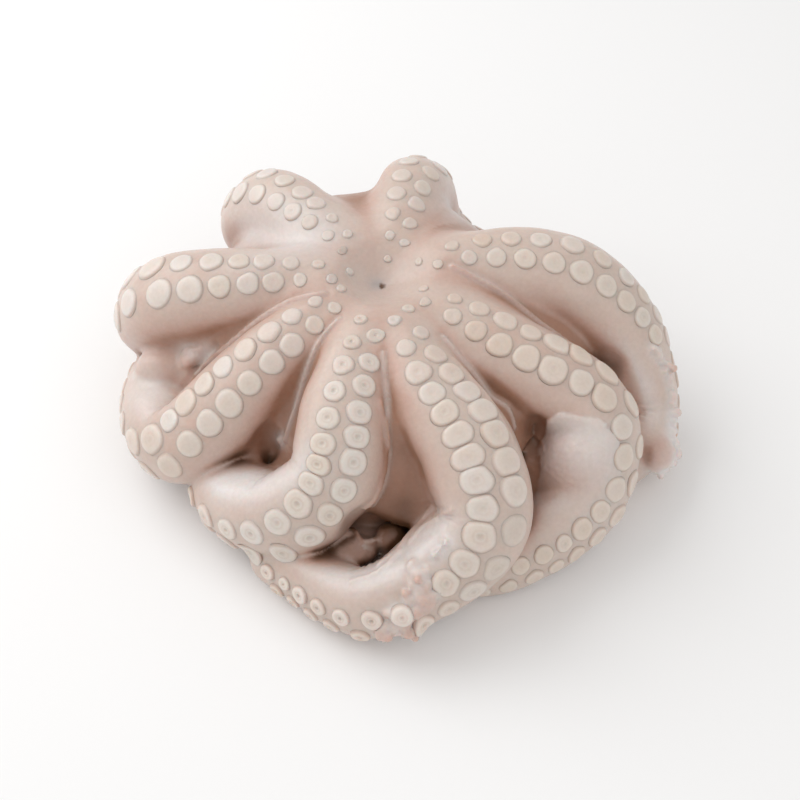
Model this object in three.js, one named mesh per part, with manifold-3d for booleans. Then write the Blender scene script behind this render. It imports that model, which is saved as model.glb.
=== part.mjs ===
// A whole raw octopus, laid mouth up on a flat surface: eight arms run out from the mouth over the mantle, drop at
// the rim and swirl clockwise round the base, each tucked under the next. The web is stretched between the arms, and
// two rows of suckers follow the mouth side of every arm. One piece of flesh, so one solid.
// Millimetres, +Z up. The origin is on the resting plane, under the middle of the animal. The front is -Y.
import * as THREE from "three";
import { LoftGeometry } from "three/addons/geometries/LoftGeometry.js";
import { mergeVertices } from "three/addons/utils/BufferGeometryUtils.js";
import Module from "manifold-3d";

// ---- driving dimensions ----
const MOUTH = { x: -9, y: 15, z: 94.5, width: 20, dip: 3, slit: 5, depth: 9 }; // a dimple with the beak's opening
const ROOT_RADIUS_SHARE = 0.5; // an arm's radius at the mouth, as a share of its girth
const SWELL_LENGTH = 95; // distance from the root to the thickest place
const TAPER_START = 115; // distance from the root where the arm starts to thin
const TAPER_LENGTH = 265; // distance after that in which it would come to a point
const TAPER_EVENNESS = 0.6; // 1 for a straight cone, less for a taper that grows steeper towards the tip
const ORAL_FLATNESS = 0.84; // height of the sucker side over the centreline, as a share of the radius
const ABORAL_BULGE = { share: 0.3, from: 70, to: 190 }; // the far side is deeper than that where the arm drops
const CROWN_HEIGHT = 90; // arms higher than this carry their suckers straight up
const FLOOR_HEIGHT = 22; // arms lower than this carry them straight outwards
const WEB_START = 8; // distance along the arms of the innermost ring of the web
const WEB_LIP = 6; // thickness of the web at its free edge
const WEB_LIFT = [0.75, 0.1]; // its height over the centrelines at the root and at the free edge, in arm radii
const WEB_HEM = { share: 0.62, z: 40 }; // where the underside of the web meets the mantle, inside it
const MANTLE = { x: -4, y: 10, z: 22, radii: [88, 92, 48] };
const FOLD = { x: -12, y: -74, z: 2, radii: [42, 28, 14] }; // edge of the mantle, pushed out in front
const FLAP = { x: 86, y: -58, z: 29, radii: [29, 29, 27] }; // slack flesh inside the bend of the southeast arm

const MIDDLE = { x: -1.7, y: -6.5 }; // middle of the outline, where the origin goes

// The arms, clockwise from the far side. route: the centreline from the mouth to the tucked tip. girth: greatest
// radius. roll: turn of the sucker side in degrees, by the mouth and in the tail. suckers: their width and their
// distance from each other at SIZE_AT, the distance of the first one in either row, and the room between the rows.
const SIZE_AT = [15, 40, 80, 130, 180]; // distances from the mouth
const TAIL_FROM = [100, 160]; // distance from the mouth over which the tail begins
const ARMS = [
  {
    name: "north", girth: 19.2, roll: [12, 12],
    suckers: { width: [5.5, 9.5, 11.5, 11.5, 9], pitch: [11, 12.5, 12, 12, 12], first: [10, 18], gap: 3 },
    route: [[-6, 25, 80], [-3, 46, 89], [6, 88, 88], [11, 102, 77], [19, 114, 39], [34, 112, 22],
      [54, 107, 14], [94, 80, 11], [108, 61, 10]],
  },
  {
    name: "east", girth: 23.6, roll: [10, 10],
    suckers: { width: [5.5, 9.5, 12, 11, 8.5], pitch: [13.5, 13.8, 13, 10.5, 9.5], first: [15, 21], gap: 1 },
    route: [[1, 20, 80], [22, 27, 88], [43, 31, 88], [87, 29, 80], [116, 15, 55], [128, -9, 25],
      [126, -22, 18], [100, -45, 14], [84, -53, 12]],
  },
  {
    name: "southeast", girth: 23.2, roll: [8, 24],
    suckers: { width: [6, 10.5, 15, 14, 10.5], pitch: [12, 13, 12.3, 14, 10.5], first: [16, 20], gap: 0 },
    route: [[0, 9, 80], [17, -1, 86], [57, -23, 77], [92, -38, 60], [99, -48, 48], [92, -71, 29],
      [45, -101, 16], [2, -93, 11], [-28, -85, 12]],
  },
  {
    name: "south_right", girth: 23.4, roll: [-6, -6],
    suckers: { width: [6.5, 11, 16.6, 15.5, 10.5], pitch: [13, 13, 9.6, 13.5, 11], first: [20, 25], gap: 0 },
    route: [[-5, 3, 80], [1, -19, 87], [11, -43, 84], [33, -76, 71], [39, -101, 51], [16, -118, 31],
      [-16, -126, 20], [-61, -96, 12]],
  },
  {
    name: "south_left", girth: 22.8, roll: [-8, -12],
    suckers: { width: [6, 9.5, 13, 13.5, 11], pitch: [12, 12, 8.8, 14, 12], first: [20, 25], gap: 4 },
    route: [[-12, 4, 80], [-17, -19, 87], [-26, -57, 78], [-36, -81, 56], [-60, -87, 35], [-86, -65, 23],
      [-88, -30, 16], [-81, -16, 12]],
  },
  {
    name: "southwest", girth: 21.4, roll: [-15, -15],
    suckers: { width: [6, 10, 13.6, 13.6, 11], pitch: [12, 12, 12.4, 13, 12], first: [24, 16], gap: 3 },
    route: [[-17, 11, 80], [-31, 3, 86], [-62, -22, 77], [-104, -44, 43], [-116, -40, 34], [-126, -24, 30],
      [-128, 14, 22], [-110, 51, 14]],
  },
  {
    name: "west", girth: 23.4, roll: [-16, -16],
    suckers: { width: [6, 9.5, 12.8, 17.5, 13], pitch: [12.4, 12.5, 13, 15.5, 12], first: [7, 12], gap: 1.5 },
    route: [[-18, 20, 80], [-35, 19, 86], [-102, 20, 80], [-120, 24, 71], [-129, 31, 55], [-130, 42, 38],
      [-123, 62, 23], [-108, 81, 17], [-92, 95, 14]],
  },
  {
    name: "northwest", girth: 20.6, roll: [-14, -14],
    suckers: { width: [5.5, 9, 12, 13.5, 10], pitch: [10.5, 11, 12, 12.5, 12], first: [17, 22], gap: 2.5 },
    route: [[-16, 27, 80], [-30, 44, 89], [-61, 76, 87], [-73, 88, 77], [-79, 97, 59], [-75, 105, 38],
      [-61, 110, 23], [-22, 110, 12], [-4, 104, 11]],
  },
];
// The web between each arm and the next, clockwise: how far along the one and the other its free edge starts and
// ends, and its sag against its span.
const WEBS = [
  { from: 114, to: 106, sag: 0.12 }, // north to east
  { from: 112, to: 106, sag: 0.2 }, // east to southeast
  { from: 108, to: 94, sag: 0.26 }, // southeast to south_right
  { from: 126, to: 100, sag: 0.3 }, // south_right to south_left
  { from: 104, to: 110, sag: 0.28 }, // south_left to southwest
  { from: 122, to: 116, sag: 0.16 }, // southwest to west
  { from: 114, to: 112, sag: 0.18 }, // west to northwest
  { from: 110, to: 112, sag: 0.1 }, // northwest to north
];

// ---- facets ----
const RING_GAP = 28; // greatest distance between the rings of an arm
const RING_TURN = 0.6; // greatest turn between two of them, radians
const SECTION = [0, 52, 101, 153, 207, 259, 308]; // angles of an arm's corners from the oral direction, degrees
const SLOPE_REACH = 10; // half the length over which a direction is read from a centreline
const WEB_STEPS = 4;
const WEB_SPANS = 4; // points across each web

const wasm = await Module();
wasm.setup();

// A closed three.js geometry as a manifold-3d solid.
function solidOf(geometry) {
  const bare = geometry.index ? geometry.toNonIndexed() : geometry.clone();
  bare.deleteAttribute("normal");
  bare.deleteAttribute("uv");
  const merged = mergeVertices(bare, 1e-4);
  return new wasm.Manifold(new wasm.Mesh({
    numProp: 3,
    vertProperties: merged.attributes.position.array,
    triVerts: new Uint32Array(merged.index.array),
  }));
}

// A manifold-3d solid as a three.js geometry.
function geometryOf(solid) {
  const mesh = solid.getMesh();
  const geometry = new THREE.BufferGeometry();
  geometry.setAttribute("position", new THREE.BufferAttribute(new Float32Array(mesh.vertProperties), 3));
  geometry.setIndex(new THREE.BufferAttribute(mesh.triVerts, 1));
  return geometry;
}

// ---- arms ----

// The arm's radius at a distance along its centreline.
function radiusAt(arm, along) {
  const swell = Math.sin(Math.min(1, along / SWELL_LENGTH) * Math.PI / 2);
  const share = Math.max(0, along - TAPER_START) / TAPER_LENGTH;
  const taper = 1 - TAPER_EVENNESS * share - (1 - TAPER_EVENNESS) * share * share;
  return arm.girth * (ROOT_RADIUS_SHARE + (1 - ROOT_RADIUS_SHARE) * swell) * taper;
}

// Centre, forward, oral (towards the suckers) and side directions, radius and bend at a distance along an arm.
function stationAt(arm, along) {
  const at = (s) => arm.curve.getPointAt(THREE.MathUtils.clamp(s / arm.length, 0, 1));
  const centre = at(along);
  const before = at(along - SLOPE_REACH);
  const after = at(along + SLOPE_REACH);
  const forward = after.clone().sub(before).normalize();
  const arriving = centre.clone().sub(before).normalize();
  const leaving = after.clone().sub(centre).normalize();
  const bend = leaving.sub(arriving).divideScalar(SLOPE_REACH);
  const lean = (Math.PI / 2) * THREE.MathUtils.smoothstep(CROWN_HEIGHT - centre.z, 0, CROWN_HEIGHT - FLOOR_HEIGHT);
  const outwards = new THREE.Vector3(centre.x, centre.y, 0).normalize();
  const oral = outwards.multiplyScalar(Math.sin(lean)).add(new THREE.Vector3(0, 0, Math.cos(lean)));
  oral.addScaledVector(forward, -oral.dot(forward)).normalize();
  const roll = THREE.MathUtils.lerp(...arm.roll, THREE.MathUtils.smoothstep(along, ...TAIL_FROM));
  oral.applyAxisAngle(forward, THREE.MathUtils.degToRad(roll));
  const side = forward.clone().cross(oral);
  return { centre, forward, oral, side, bend, along, radius: radiusAt(arm, along) };
}

// A point of the arm's skin, at an angle from the oral direction. Flesh on the inside of a tight bend is pressed flat.
function skinPoint(station, angle) {
  const { centre, oral, side, bend, radius, along } = station;
  const { share, from, to } = ABORAL_BULGE;
  const bulge = 1 + share * Math.sin(Math.PI * THREE.MathUtils.clamp((along - from) / (to - from), 0, 1));
  const flat = Math.cos(angle) > 0 ? ORAL_FLATNESS : bulge;
  const offset = side.clone().multiplyScalar(radius * Math.sin(angle))
    .addScaledVector(oral, radius * Math.cos(angle) * flat);
  const tightness = bend.length();
  if (tightness > 1e-4) {
    const inwards = bend.clone().divideScalar(tightness);
    const depth = offset.dot(inwards);
    const room = 0.9 / tightness;
    if (depth > 0) offset.addScaledVector(inwards, room * Math.tanh(depth / room) - depth);
  }
  return offset.add(centre);
}

function ringOf(station, scale = 1) {
  const shrunk = { ...station, radius: station.radius * scale };
  return SECTION.map((angle) => skinPoint(shrunk, THREE.MathUtils.degToRad(angle)));
}

// Where an arm gets its rings: closer together in a bend.
function ringStops(arm) {
  const stops = [0, SWELL_LENGTH / 8];
  let turned = 0;
  for (let along = stops[1] + 1; along < arm.length - RING_GAP / 3; along++) {
    turned += stationAt(arm, along).forward.angleTo(stationAt(arm, along - 1).forward);
    if (turned < RING_TURN && along - stops.at(-1) < RING_GAP) continue;
    stops.push(along);
    turned = 0;
  }
  return [...stops, arm.length];
}

// The rings of an arm, with a rounded tip.
function armRings(arm) {
  const rings = ringStops(arm).map((along) => ringOf(stationAt(arm, along)));
  const tip = stationAt(arm, arm.length);
  for (const [scale, reach] of [[0.75, 0.6], [0.3, 0.9]]) {
    const centre = tip.centre.clone().addScaledVector(tip.forward, tip.radius * reach);
    rings.push(ringOf({ ...tip, centre }, scale));
  }
  return rings;
}

function armSolid(arm) {
  return solidOf(new LoftGeometry(armRings(arm), { capStart: true, capEnd: true }));
}

// ---- web and body ----

// A ring of the web at a share of its reach: it runs through every arm and sags between each two.
function webRing(share, rise) {
  const hold = (arm, reach) => {
    const { centre, radius } = stationAt(arm, WEB_START + (reach - WEB_START) * share);
    return centre.setZ(centre.z + THREE.MathUtils.lerp(...WEB_LIFT, share) * radius + rise);
  };
  return WEBS.flatMap(({ from, to, sag }, i) => {
    const a = hold(ARMS[i], from);
    const b = hold(ARMS[(i + 1) % ARMS.length], to);
    const depth = sag * a.distanceTo(b) * (0.35 + 0.65 * share * share);
    return Array.from({ length: WEB_SPANS }, (_, k) => {
      const part = (k + 0.08) / (WEB_SPANS - 0.84);
      const point = a.clone().lerp(b, part);
      point.z -= depth * 4 * part * (1 - part);
      return point;
    });
  });
}

// The web: an umbrella stretched over all the arms, with a free edge and the mantle underneath.
function webSolid() {
  const peak = new THREE.Vector3(MOUTH.x, MOUTH.y, MOUTH.z);
  const rings = [webRing(0, 0).map((point) => point.lerp(peak, 0.7).setZ(MOUTH.z))];
  for (let j = 0; j <= WEB_STEPS; j++) rings.push(webRing(j / WEB_STEPS, 0));
  rings.push(webRing(1, -WEB_LIP));
  rings.push(webRing(WEB_HEM.share, 0).map((point) => point.setZ(WEB_HEM.z)));
  return solidOf(new LoftGeometry(rings, { capStart: true, capEnd: true }));
}

function ellipsoid({ x, y, z, radii }, segments) {
  return solidOf(new THREE.SphereGeometry(1, segments, segments / 2).rotateX(Math.PI / 2)
    .scale(...radii).translate(x, y, z));
}

// What is cut out for the mouth: a shallow dimple and the opening over the beak.
function mouthCut() {
  const { x, y, z, width, dip, slit, depth } = MOUTH;
  const profile = [[0, -depth], [slit / 2, -depth + 1], [slit / 2, -dip], [width / 2, 0], [width / 2, 6], [0, 6]];
  return solidOf(new THREE.LatheGeometry(profile.map(([r, h]) => new THREE.Vector2(r, h)), 12)
    .rotateX(Math.PI / 2).translate(x, y, z));
}

// ---- suckers ----
const SUCKER_CROWDING = 1.2; // length along the arm of a sucker in a crowded row, over its pitch
const SUCKER_GROOVE = 0.5; // distance between the two rows
const SUCKER_ROOT = 2; // extra depth of a sucker's root in the flesh
const GAP_GROWS = [20, 90]; // distance from the mouth over which the rows part
const SMALL_SUCKER = 8; // suckers narrower than this get five sides and a flat top
const FINE_SUCKER = 17; // suckers wider than this get eight sides

// A size at a distance from the mouth, from its values at SIZE_AT.
function sizeAt(values, along) {
  const next = SIZE_AT.findIndex((place) => place > along);
  if (next < 0) return values.at(-1);
  if (next === 0) return values[0];
  return THREE.MathUtils.mapLinear(along, SIZE_AT[next - 1], SIZE_AT[next], values[next - 1], values[next]);
}

// Width and length of a sucker, the distance to the next one of its row, and that from the middle of the arm.
function suckerSize(arm, along) {
  const taper = Math.min(1, radiusAt(arm, along) / radiusAt(arm, SIZE_AT.at(-1)));
  const pitch = sizeAt(arm.suckers.pitch, along);
  const width = sizeAt(arm.suckers.width, along) * taper;
  const room = SUCKER_GROOVE + arm.suckers.gap * THREE.MathUtils.smoothstep(along, ...GAP_GROWS);
  return { width, length: Math.min(width, SUCKER_CROWDING * pitch), pitch, reach: (width + room) / 2 };
}

// True where a point lies in another arm, or in a far stretch of its own.
function buried(point, own, along) {
  return ARMS.some((arm) => arm.samples.some(({ s, station }) => {
    if (arm === own && Math.abs(s - along) < 2.5 * station.radius) return false;
    return station.centre.distanceTo(point) < station.radius * 1.03;
  }));
}

// A cup that widens from its foot to its rim, with a shallow dish. Its frame: across the arm, out of it, along it.
function suckerSolid(frame, { width, length }) {
  const small = width < SMALL_SUCKER;
  const sides = small ? 5 : width < FINE_SUCKER ? 6 : 8;
  const height = 0.06 * width + 0.6;
  const profile = [[0, -0.3 * width - SUCKER_ROOT], [0.5, height], [0, height - (small ? 0 : 0.05 * width)]];
  return solidOf(new THREE.LatheGeometry(profile.map(([r, h]) => new THREE.Vector2(r, h)), sides)
    .scale(width, 1, length).applyMatrix4(frame));
}

function suckersOf(arm) {
  const made = [];
  for (const row of [-1, 1]) {
    let along = arm.suckers.first[row < 0 ? 0 : 1];
    while (along < arm.length - 4) {
      const size = suckerSize(arm, along);
      const station = stationAt(arm, along);
      const ridge = skinPoint(station, 0);
      const edge = skinPoint(station, row * THREE.MathUtils.degToRad(SECTION[1]));
      const across = edge.clone().sub(ridge).normalize();
      const foot = ridge.addScaledVector(across, size.reach);
      const normal = across.clone().multiplyScalar(row).cross(station.forward).normalize();
      const frame = new THREE.Matrix4().makeBasis(across, normal, across.clone().cross(normal)).setPosition(foot);
      if (foot.z > 0.3 * size.width && !buried(foot, arm, along)) made.push(suckerSolid(frame, size));
      along += size.pitch;
    }
  }
  return made;
}

// ---- assembly ----
for (const arm of ARMS) {
  arm.curve = new THREE.CatmullRomCurve3(arm.route.map((p) => new THREE.Vector3(...p)));
  arm.length = arm.curve.getLength();
  arm.samples = [];
  for (let s = 0; s <= arm.length; s += 5) arm.samples.push({ s, station: stationAt(arm, s) });
}

const body = wasm.Manifold.union([
  ...ARMS.map(armSolid),
  webSolid(),
  ellipsoid(MANTLE, 14),
  ellipsoid(FOLD, 8),
  ellipsoid(FLAP, 10),
]);
const suckers = ARMS.flatMap(suckersOf);
const table = solidOf(new THREE.BoxGeometry(400, 400, 60).translate(0, 0, -30));
const whole = wasm.Manifold.union([body, ...suckers]).subtract(mouthCut()).subtract(table);

const flesh = new THREE.MeshStandardMaterial({ color: 0xd9bdb0, roughness: 0.35, metalness: 0 });
const octopus = new THREE.Mesh(geometryOf(whole).translate(-MIDDLE.x, -MIDDLE.y, 0), flesh);
octopus.name = "octopus";

const group = new THREE.Group();
group.add(octopus);

export default group;
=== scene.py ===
import itertools
import math

import bpy
import numpy as np
import openvdb
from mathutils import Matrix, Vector
from mathutils.bvhtree import BVHTree


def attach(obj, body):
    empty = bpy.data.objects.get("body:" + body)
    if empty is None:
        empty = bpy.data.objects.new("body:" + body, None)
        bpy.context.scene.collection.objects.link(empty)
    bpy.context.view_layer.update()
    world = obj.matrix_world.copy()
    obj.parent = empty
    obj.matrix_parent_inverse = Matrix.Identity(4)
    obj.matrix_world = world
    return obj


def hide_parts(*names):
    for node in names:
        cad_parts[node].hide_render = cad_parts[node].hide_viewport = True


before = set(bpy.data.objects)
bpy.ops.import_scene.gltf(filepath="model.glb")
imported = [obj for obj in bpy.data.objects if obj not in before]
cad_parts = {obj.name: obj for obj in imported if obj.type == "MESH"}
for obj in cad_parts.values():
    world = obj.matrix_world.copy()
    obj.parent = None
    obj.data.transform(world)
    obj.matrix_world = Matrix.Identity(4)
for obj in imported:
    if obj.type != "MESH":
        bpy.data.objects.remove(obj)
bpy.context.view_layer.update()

# ---- driving dimensions ----
# Most are those of the CAD part. Some are shifted a little, to bring the picture nearer to the photo. The beds, the
# hollows, the curl and all that is smaller are only here.
MIDDLE = np.array([-1.7, -6.5, 0.0])  # middle of the outline, where the origin goes
MOUTH = np.array([-9.0, 15.0, 94.5])
MOUTH_SLIT, MOUTH_DEPTH = 2.6, 8.0
MOUTH_CLEAR = 13.0  # no sucker stands nearer to the mouth
ROOT_RADIUS_SHARE = 0.5  # an arm's radius at the mouth, as a share of its girth
SWELL_LENGTH = 95.0
TAPER_START, TAPER_LENGTH, TAPER_EVENNESS = 115.0, 265.0, 0.6
ORAL_FLATNESS = 0.84
BULGE_SHARE, BULGE_FROM, BULGE_TO = 0.3, 70.0, 190.0
CROWN_HEIGHT, FLOOR_HEIGHT = 90.0, 22.0
SLOPE_REACH = 10.0
WEB_START, WEB_LIP = 8.0, 6.0
WEB_LIFT = (0.75, 0.1)
WEB_HEM_SHARE, WEB_HEM_Z = 0.62, 40.0
MANTLE = {"at": (-4, 10, 22), "radii": (88, 92, 48)}
FOLD = {"at": (-12, -74, 2), "radii": (42, 28, 14)}
FLAP = {"at": (87, -58, 30), "radii": (24, 28, 29)}
BEDS = [  # flesh between the arms and beside the tails
    {"at": (66, -54, 25), "radii": (16, 20, 22)},
    {"at": (-66, -46, 18), "radii": (16, 16, 17)},
    {"at": (-3, -55, 70), "radii": (8, 17, 16)},
    {"at": (-3, -68, 49), "radii": (12, 15, 18)},
    {"at": (46, -52, 62), "radii": (9, 12, 13)},
    {"at": (89, -60, 42), "radii": (19, 18, 24)},
    {"at": (-121, -1, 45), "radii": (15, 11, 13)},
    {"at": (131, -37, 24), "radii": (9, 12, 9)},
]
# Deep narrow hollows where the web and two arms meet, and the fillet of their edges.
HOLLOWS = [
    {"at": (-65.5, -53.5, 35), "radii": (1.8, 2.3, 7), "blend": 3.5},
    {"at": (-64, -52, 49), "radii": (5, 5.5, 9), "blend": 8},
    {"at": (103, -8, 56), "radii": (8, 4, 7), "blend": 7},
    {"at": (-17, -101, 45), "radii": (9.5, 8, 12), "blend": 6},
    {"at": (66, -56, 58), "radii": (5.5, 11, 10), "blend": 6},
]

# A thin film of skin over the flap: its corners, thickness and reach.
FILM = [(69, -48, 58), (76, -54, 72), (84, -54, 74), (91, -54, 73), (99, -56, 70), (105, -61, 62), (108, -72, 50),
        (100, -88, 36), (84, -102, 26), (70, -108, 22), (62, -100, 28), (66, -78, 40)]
FILM_THICKNESS, FILM_REACH = 1.3, 52.0
FILM_TOP = (86, -54, 70)
FILM_FADES = (14.0, 42.0)  # distance from the top over which it thins out
# Lines in the skin: places near the line, height (less than nothing for a groove) and width.
LINES = [
    ([(60, -52, 52), (66, -47, 50), (72, -59, 51)], 1.2, 1),
    ([(66, -45, 55), (65, -46, 48)], -1.8, 0.9),
    ([(16, -89, 46), (8, -97, 43), (-1, -110, 43), (-10, -118, 40)], 1.6, 1.2),
    ([(24, -106, 68), (12, -102, 51), (4, -109, 46)], 1.4, 1.1),
    ([(0, -112, 44), (-10, -122, 41), (-23, -125, 37)], 1.2, 1.1),
    ([(-92, -7, 71), (-103, -10, 58), (-111, -15, 48)], -2.2, 1.8),
    ([(-99, -4, 64), (-106, -3, 60), (-110, -6, 54)], 1.2, 1.6),
    ([(24, -38, 93), (33, -48, 91), (41, -56, 88), (48, -68, 86), (52, -76, 81)], 0.9, 1),
    ([(-9, -60, 90), (-6, -70, 80), (-6, -78, 68), (-10, -88, 58), (-16, -94, 52)], 1.5, 1.3),
]
# Crumbs of slime: places along each, and its radius.
CRUMBS = [
    ([(5, -123, 48), (11, -128, 47), (8, -134, 44), (5, -139, 39), (0, -141, 29)], 2.9),
    ([(16, -132, 41), (13, -135, 39), (8, -138, 36), (4, -139, 31)], 3.2),
    ([(-2, -139, 34), (0, -141, 29), (-7, -144, 24)], 3),
    ([(-1, -143, 23), (4, -142, 22), (8, -141, 22)], 2.8),
    ([(-7, -143, 22), (-8, -143, 17)], 2.8),
    ([(21, -118, 58), (15, -122, 53)], 1.4),
    ([(-58, -52, 52), (-59, -50, 48)], 1.6),
    ([(129, -2, 62), (136, -6, 50), (140, -15, 38), (141, -28, 28), (138, -40, 22), (130, -48, 18)], 2.2),
]
# Paint: the layer of colour (dark painted shade in crevices; pink and painted shade; or whitish painted highlight, also
# the tone of slime), places near a line, its strength (less than nothing to take away) and its width.
PAINT = [
    ("crevice_shade", [(92, -2, 60), (98, -4, 56), (104, -4, 53), (108, -8, 52)], 0.7, 4.5),
    ("crevice_shade", [(-24, -98, 40), (-18, -97, 40)], 0.55, 8),
    ("crevice_shade", [(-17, -86, 37), (-7, -87, 36), (0, -89, 35), (3, -84, 44)], 0.8, 6),
    ("crevice_shade", [(-3, -92, 32), (-2, -93, 28)], 0.35, 8),
    ("pink_and_shade", [(-31, -98, 27), (-22, -98, 27), (-16, -98, 26)], -0.45, 8),
    ("pink_and_shade", [(-7, -41, 98), (-2, -59, 90), (0, -67, 76), (-3, -76, 60)], 0.4, 12),
    ("pink_and_shade", [(50, -42, 80), (60, -48, 69), (66, -50, 60)], 0.2, 11),
    ("crevice_shade", [(-112, -14, 52), (-104, -17, 58), (-96, -18, 62), (-84, -14, 68)], 0.6, 4),
    ("highlight_and_slime", [(-108, -2, 61), (-102, -6, 62), (-96, -7, 65)], 0.6, 6),
    ("pink_and_shade", [(-48, -34, 80), (-54, -43, 68), (-58, -48, 58)], 0.6, 13),
    ("pink_and_shade", [(-140, 10, 46), (-122, 1, 60), (-100, -1, 68), (-80, 0, 76)], 0.55, 12),
    ("pink_and_shade", [(-60, -20, 92), (-90, -38, 75), (-112, -52, 50)], 0.2, 26),
    ("pink_and_shade", [(-60, 20, 98), (-95, 18, 98), (-130, 20, 80)], 0.12, 26),
    ("pink_and_shade", [(50, -20, 99), (75, -30, 92), (94, -42, 80)], 0.25, 14),
    ("highlight_and_slime", [(92, -62, 62), (99, -74, 50), (97, -86, 38)], 0.25, 13),
    ("crevice_shade", [(66, -46, 50), (67, -54, 42)], 0.35, 7),
    ("crevice_shade", [(-66, -52, 46), (-60, -50, 50)], -0.4, 7),
    ("pink_and_shade", [(-130, 0, 50), (-121, -6, 54), (-112, -6, 54)], -0.8, 12),
    ("crevice_shade", [(-130, 0, 50), (-121, -6, 54), (-112, -6, 54)], -0.6, 12),
    ("highlight_and_slime", [(-131, 0, 52), (-127, -8, 50), (-124, -14, 50)], 0.4, 7),
    ("highlight_and_slime", [(138, -22, 30), (138, -36, 26), (132, -46, 22)], 0.6, 8),
    ("highlight_and_slime", [(5, -112, 58), (16, -116, 58), (24, -113, 62)], 0.35, 9),
    ("highlight_and_slime", [(-82, -73, 46), (-61, -84, 61), (-42, -85, 78)], 0.7, 11),
    ("highlight_and_slime", [(-76, 62, 84), (-60, 52, 92), (-44, 44, 94)], 0.75, 17),
    ("highlight_and_slime", [(-74, 22, 103), (-55, 31, 100)], 0.35, 14),
    ("highlight_and_slime", [(29, 69, 88), (26, 88, 80)], 0.5, 14),
    ("highlight_and_slime", [(-20, -132, 36), (-40, -124, 38), (0, -129, 45)], 0.1, 12),
]
# Greyish, slightly bluish painted shade beside the mouth: its middle, and share and width of each of its rings.
MOUTH_SHADE_RINGS = {"from": (-2.5, 1, -4.0), "rings": ((0.55, 4.5), (0.16, 22))}

# The arms, clockwise from the far side. route: the centreline from the mouth to the tucked tip. roll: turn of the
# sucker side in degrees, at ROLL_AT from the mouth. Of the suckers: their width and their distance from each
# other at SIZE_AT from the mouth, the distance of the first one in either row, the extra room between the rows, how far
# they are open, by the mouth and in the tail, and how cool their white is.
SIZE_AT = (15, 40, 80, 130, 180)
TAIL_FROM = (100, 160)  # distance from the mouth over which the tail begins
ROLL_AT = (60, 110, 160)
ARMS = [
    {  # north
        "girth": 19.2, "roll": (12, 12, 12), "width": (5.5, 9.5, 11.5, 11.5, 9), "pitch": (11, 12.5, 12, 12, 12),
        "first": (10, 18), "gap": 3, "open": (0, 0.1), "cool": 0.7,
        "route": [(-6, 25, 80), (-3, 46, 89), (6, 88, 88), (11, 102, 77), (19, 114, 39), (34, 112, 22),
                  (54, 107, 14), (94, 80, 11), (108, 61, 10)],
    },
    {  # east
        "girth": 23.6, "roll": (10, 10, 10), "width": (5.5, 9.5, 12, 11, 8.5), "pitch": (13.5, 13.8, 13, 10.5, 9.5),
        "first": (15, 21), "gap": 1, "open": (0.1, 0.4), "cool": 0.35,
        "route": [(1, 20, 80), (22, 27, 88), (43, 31, 88), (87, 29, 80), (116, 15, 55), (128, -9, 25),
                  (126, -22, 18), (100, -45, 14), (84, -53, 12)],
    },
    {  # southeast
        "girth": 23.2, "roll": (8, -8, 18), "width": (6, 10.5, 15, 14, 10.5), "pitch": (12, 13, 12.3, 14, 10.5),
        "first": (16, 20), "gap": 0, "open": (0, 0.1), "cool": 0.2,
        "route": [(0, 9, 80), (17, -1, 86), (57, -23, 77), (92, -38, 60), (99, -48, 48), (92, -71, 29),
                  (45, -101, 16), (2, -93, 11), (-28, -85, 12)],
    },
    {  # south, right
        "girth": 23.4, "roll": (-4, -5, 6), "width": (6.5, 11, 16.6, 15.5, 10.5), "pitch": (13, 13, 9.6, 13.5, 11),
        "first": (20, 25), "gap": 0, "open": (0.15, 0.9), "cool": 0.45,
        "route": [(-5, 3, 80), (1, -19, 87), (11, -43, 84), (33, -76, 71), (39, -101, 51), (16, -118, 31),
                  (-16, -126, 20), (-61, -96, 12)],
    },
    {  # south, left
        "girth": 22.8, "roll": (-9, -16, -12), "width": (6, 9.5, 13, 13.5, 11), "pitch": (12, 12, 8.8, 14, 12),
        "first": (20, 25), "gap": 1.5, "open": (0.9, 0.9), "cool": 0.5,
        "route": [(-12, 4, 80), (-17, -19, 87), (-26, -57, 78), (-33, -81, 57), (-58, -87, 36), (-86, -65, 23),
                  (-88, -30, 16), (-81, -16, 12)],
    },
    {  # southwest
        "girth": 21.4, "roll": (-15, -15, -15), "width": (6, 10, 13.6, 13.6, 11), "pitch": (12, 12, 12.4, 13, 12),
        "first": (24, 16), "gap": 3, "open": (0.05, 0.3), "cool": 0.45,
        "route": [(-17, 11, 80), (-31, 3, 86), (-62, -22, 77), (-104, -44, 43), (-116, -40, 34), (-126, -24, 30),
                  (-128, 14, 22), (-110, 51, 14)],
    },
    {  # west
        "girth": 23.4, "roll": (-16, -16, -16), "width": (6, 9.5, 12.8, 17.5, 13), "pitch": (12.4, 12.5, 13, 15.5, 12),
        "first": (7, 12), "gap": 1.5, "open": (0, 0), "cool": 0.75,
        "route": [(-18, 20, 80), (-35, 19, 86), (-102, 20, 80), (-120, 24, 71), (-129, 31, 55), (-130, 42, 38),
                  (-123, 62, 23), (-108, 81, 17), (-92, 95, 14)],
    },
    {  # northwest
        "girth": 20.6, "roll": (-14, -14, -14), "width": (5.5, 9, 12, 13.5, 10), "pitch": (10.5, 11, 12, 12.5, 12),
        "first": (17, 22), "gap": 2.5, "open": (0, 0.1), "cool": 0.9,
        "route": [(-16, 27, 80), (-30, 44, 89), (-61, 76, 87), (-73, 88, 77), (-79, 97, 59), (-75, 105, 38),
                  (-61, 110, 23), (-22, 110, 12), (-4, 104, 11)],
    },
]
# The web between each arm and the next, clockwise: how far along the one and the other its free edge starts and
# ends, and its sag against its span.
WEBS = [(114, 106, 0.12), (112, 106, 0.12), (108, 94, 0.18), (126, 100, 0.22), (104, 110, 0.28), (122, 116, 0.16),
        (114, 112, 0.18), (110, 112, 0.1)]

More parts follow.
